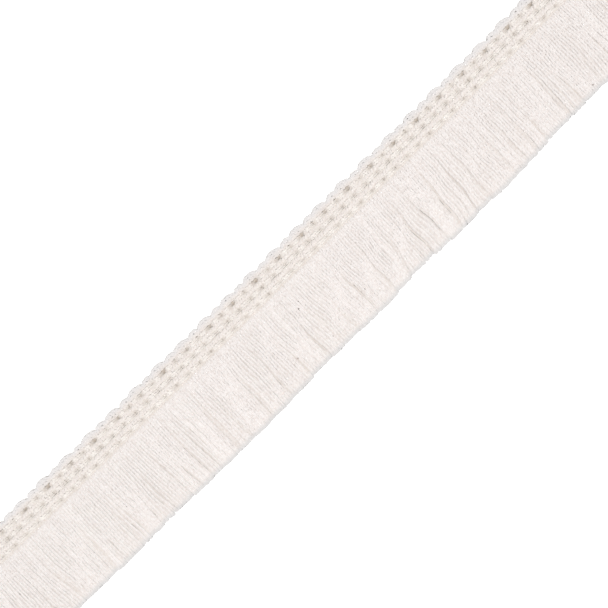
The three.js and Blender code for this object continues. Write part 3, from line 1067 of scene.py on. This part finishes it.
class FRINGE_OT_scatter_flecks(bpy.types.Operator):
    """Presses specks of seed husk into the cotton"""

    bl_idname = "fringe.scatter_flecks"
    bl_label = "Scatter seed flecks"

    def execute(self, context):
        rng = np.random.default_rng(context.scene.loose_fibres.seed + 3)
        reach = trim_measures()[2]
        mesh = bpy.data.meshes.new("seed_flecks")
        husks = bmesh.new()
        for fleck in FLECKS:
            height = skirt_height(1 - fleck.down / reach) if fleck.down > 0 else FLECK_ON_HEADING
            place = Vector(trim_points([fleck.along], [-fleck.down], [height + FLECK_LIFT])[0])
            turn = Matrix.Rotation(rng.uniform(0, math.pi), 4, "Z")
            half = fleck.size * MM / 2
            shape = Matrix.Diagonal((half, FLECK_SHAPE * half, FLECK_THICK * MM / 2, 1))
            bmesh.ops.create_icosphere(
                husks, subdivisions=2, radius=1.0, matrix=Matrix.Translation(place) @ turn @ shape
            )
        husks.to_mesh(mesh)
        husks.free()
        mesh.shade_smooth()
        mesh.materials.append(husk("dry_seed_husk", context.scene.cotton_colours.husk))
        finished_piece("seed_flecks", mesh)
        return {"FINISHED"}


class FRINGE_OT_raise_fibres(bpy.types.Operator):
    """Raises loose fibres from the picots, the hem and the face of the skirt"""

    bl_idname = "fringe.raise_fibres"
    bl_label = "Raise loose fibres"

    def execute(self, context):
        loose = context.scene.loose_fibres
        rng = np.random.default_rng(loose.seed + 4)
        material = cotton_yarn("loose_cotton_fibre", context.scene.cotton_colours.skirt, FINE_SPIN)
        fibres = new_yarns("loose_fibres", loose.thick, loose.thick, FIBRE, material)
        half_length, _, reach = trim_measures()
        steps = np.linspace(0, 1, FIBRE_STEPS + 1)
        for _ in range(loose.count):
            along = rng.uniform(FIBRE_CLEAR - half_length, half_length - FIBRE_CLEAR)
            pick = rng.random()
            on_face = pick >= PICOT_SHARE + HEM_SHARE
            if on_face:
                down = rng.uniform(FACE_MARGIN, reach - FACE_MARGIN)
                across = -down
                z = skirt_height(1 - down / reach) - FACE_SINK
                heading = rng.normal(*FACE_HEADING)
            else:
                zone, start = (PICOT_ZONE, 0) if pick < PICOT_SHARE else (HEM_ZONE, -reach)
                across = start + rng.uniform(*zone.across)
                z = rng.uniform(*zone.z)
                heading = rng.normal(*zone.heading)
            stride = rng.uniform(*FIBRE_LENGTH) / FIBRE_STEPS
            turn = np.radians(heading + rng.normal(0, FIBRE_CURL) * steps[1:])
            rise = rng.uniform(*FACE_RISE) if on_face else rng.normal(0, EDGE_RISE)
            lay_yarn(fibres, trim_points(
                along + stride * np.concatenate([[0], np.cumsum(np.cos(turn))]),
                across + stride * np.concatenate([[0], np.cumsum(np.sin(turn))]),
                np.maximum(z + rise * np.sin(math.pi * steps), FIBRE_LOWEST),
            ))
        yarn_piece(fibres)
        return {"FINISHED"}


# ---- stage ----


class FRINGE_OT_set_stage(bpy.types.Operator):
    """Sets the pale floor, the soft lights and the camera"""

    bl_idname = "fringe.set_stage"
    bl_label = "Set the stage"

    def execute(self, context):
        scene = context.scene
        studio = scene.studio_settings
        scene.view_settings.view_transform = "Standard"
        mesh = bpy.data.meshes.new("floor")
        plane = bmesh.new()
        bmesh.ops.create_grid(plane, x_segments=1, y_segments=1, size=FLOOR_HALF)
        plane.to_mesh(mesh)
        plane.free()
        # Frosted acrylic, lit from below: plain, matt and white, so no edge of a shadow shows on it.
        material, tree = new_material("lit_white_acrylic")
        board = add_node(tree, "BsdfPrincipled", {
            "Base Color": (*studio.floor, 1), "Roughness": 0.8,
            "Emission Color": (1, 1, 1, 1), "Emission Strength": studio.glow,
        })
        add_node(tree, "OutputMaterial", {"Surface": board["BSDF"]})
        mesh.materials.append(material)
        floor = new_object("floor", mesh)
        world = bpy.data.worlds.new("even_sky")
        world.use_nodes = True
        sky = world.node_tree.nodes["Background"]
        sky.inputs["Color"].default_value = (1, 1, 1, 1)
        sky.inputs["Strength"].default_value = studio.sky
        scene.world = world
        lamp = bpy.data.lights.new("softbox", "AREA")
        lamp.energy = studio.lamp
        lamp.size = SOFTBOX_WIDE
        softbox = new_object("softbox", lamp)
        softbox.location = SOFTBOX_PLACE
        softbox.rotation_euler = Vector(softbox.location).to_track_quat("Z", "Y").to_euler()
        lens = bpy.data.cameras.new("camera")
        lens.lens = studio.lens
        camera = new_object("camera", lens)
        distance = studio.frame_width * studio.lens / lens.sensor_width
        camera.location = (studio.aim_along, studio.aim_across, distance + FRAMED_HEIGHT)
        camera.rotation_euler = (0, 0, -studio.turn)
        scene.camera = camera
        return {"FINISHED"}


class FRINGE_PT_panel(bpy.types.Panel):
    """Lists the steps that make the fringe"""

    bl_label = "Brush fringe"
    bl_idname = "FRINGE_PT_panel"
    bl_space_type = "VIEW_3D"
    bl_region_type = "UI"
    bl_category = "Fringe"

    def draw(self, context):
        for operator in OPERATORS:
            self.layout.operator(operator.bl_idname)


GROUPS = {
    "trim_sizes": TrimSizes,
    "heading_sizes": HeadingSizes,
    "skirt_sizes": SkirtSizes,
    "loose_fibres": LooseFibres,
    "cotton_colours": CottonColours,
    "studio_settings": StudioSettings,
}
OPERATORS = (
    FRINGE_OT_weave_weft,
    FRINGE_OT_lay_warp,
    FRINGE_OT_lay_skirt,
    FRINGE_OT_raise_fibres,
    FRINGE_OT_scatter_flecks,
    FRINGE_OT_lay_ground,
    FRINGE_OT_set_stage,
)


def register():
    for cls in (*GROUPS.values(), *OPERATORS, FRINGE_PT_panel):
        bpy.utils.register_class(cls)
    for name, group in GROUPS.items():
        setattr(bpy.types.Scene, name, PointerProperty(type=group))


def unregister():
    for name in GROUPS:
        delattr(bpy.types.Scene, name)
    for cls in (FRINGE_PT_panel, *OPERATORS, *GROUPS.values()):
        bpy.utils.unregister_class(cls)


def main():
    register()
    for operator in OPERATORS:
        getattr(bpy.ops.fringe, operator.bl_idname.split(".")[1])()


if __name__ == "__main__":
    main()
